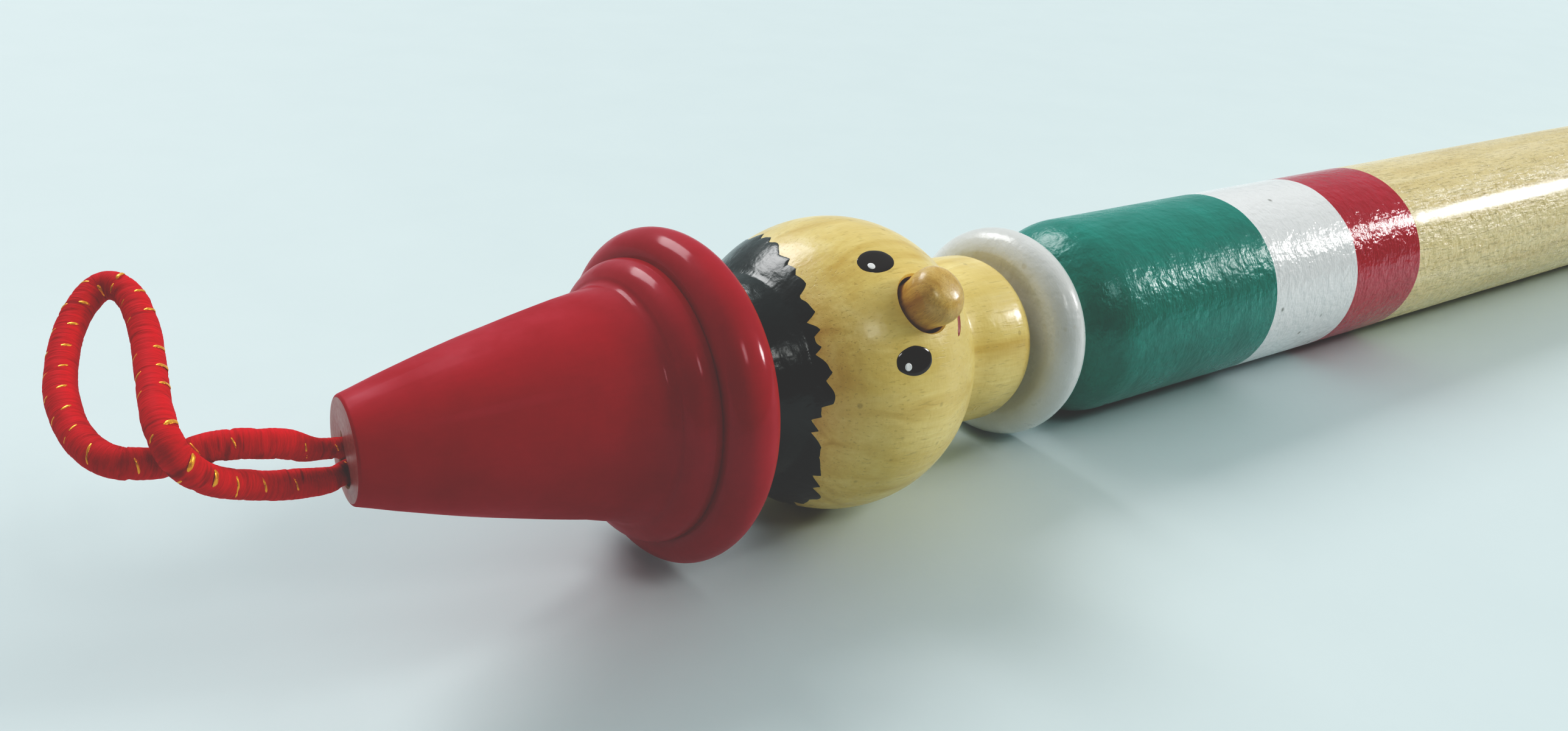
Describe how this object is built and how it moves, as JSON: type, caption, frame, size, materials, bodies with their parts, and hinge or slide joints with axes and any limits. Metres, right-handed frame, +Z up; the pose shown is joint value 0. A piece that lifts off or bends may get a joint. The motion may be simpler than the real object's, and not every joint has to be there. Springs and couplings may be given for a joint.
{
  "type": "novelty stick with strung figure head",
  "caption": "Round painted wooden stick with a loose white collar, ball head and tall turned hat strung on a doubled elastic cord that ends in a hanging loop.",
  "frame": {"origin": "bottom centre of the bounding box, on the table the stick lies on", "axes": "+X along the stick towards its sharpened end, head towards -X; +Z up from the table"},
  "size_m": [0.3618, 0.0276, 0.0276],
  "materials": {
    "stick_wood": "clear gloss varnish over pale wood, with painted green, white and red bands at the head end",
    "lead": "graphite, satin",
    "peg_wood": "raw wood",
    "collar_white": "white gloss lacquer on turned wood",
    "head_wood": "clear gloss varnish on turned wood, painted hair band and face",
    "nose_wood": "clear satin varnish",
    "hat_red": "red gloss lacquer on turned wood",
    "cord_red": "red thread wrapped on elastic, with a gold thread in a helix"
  },
  "bodies": {
    "stick": {"stick": "stick_wood", "lead": "lead", "anchor_peg": "peg_wood", "cord_anchored_end": "cord_red"},
    "neck_cord": {"cord_in_stick": "cord_red"},
    "neck_bend": {"cord_bend": "cord_red"},
    "collar": {"collar": "collar_white"},
    "head": {"head": "head_wood", "nose_peg": "nose_wood", "hat": "hat_red", "cord_in_head": "cord_red"},
    "cord_mouth": {"cord_mouth": "cord_red"},
    "cord_pair": {"cord_strand_upper": "cord_red", "cord_strand_lower": "cord_red"},
    "cord_loop": {"cord_loop": "cord_red"}
  },
  "joints": [
    {"name": "head_pull", "type": "slide", "parent": "stick", "child": "neck_cord", "axis": [-1, 0, 0], "range_m": [0, 0.004], "stiffness_N_per_m": 400},
    {"name": "head_sway", "type": "hinge", "parent": "neck_cord", "child": "neck_bend", "pos_m": [-0.09724, 0.00381, 0.00996], "axis": [0, 0, 1], "range_deg": [-18.5, 6.5], "stiffness_Nm_per_rad": 0.02},
    {"name": "head_nod", "type": "hinge", "parent": "neck_bend", "child": "collar", "pos_m": [-0.09724, 0.00381, 0.00996], "axis": [-0.108, 0.9942, 0], "range_deg": [-19, 6.5], "stiffness_Nm_per_rad": 0.02},
    {"name": "head_twist", "type": "hinge", "parent": "collar", "child": "head", "pos_m": [-0.09724, 0.00381, 0.00996], "axis": [0.9881, 0.1073, -0.1097], "range_deg": [-90, 90], "stiffness_Nm_per_rad": 0.002},
    {"name": "cord_swing", "type": "hinge", "parent": "head", "child": "cord_mouth", "pos_m": [-0.16717, -0.00379, 0.01753], "axis": [0.1091, 0.0119, 0.994], "range_deg": [-60, 60], "stiffness_Nm_per_rad": 0.0002},
    {"name": "cord_lift", "type": "hinge", "parent": "cord_mouth", "child": "cord_pair", "pos_m": [-0.16717, -0.00379, 0.01753], "axis": [-0.108, 0.9942, 0], "range_deg": [-60, 60], "stiffness_Nm_per_rad": 0.0002},
    {"name": "loop_fold", "type": "hinge", "parent": "cord_pair", "child": "cord_loop", "pos_m": [-0.17283, -0.00441, 0.01886], "axis": [-0.108, 0.9942, 0], "range_deg": [-35, 35], "stiffness_Nm_per_rad": 0.0002}
  ]
}
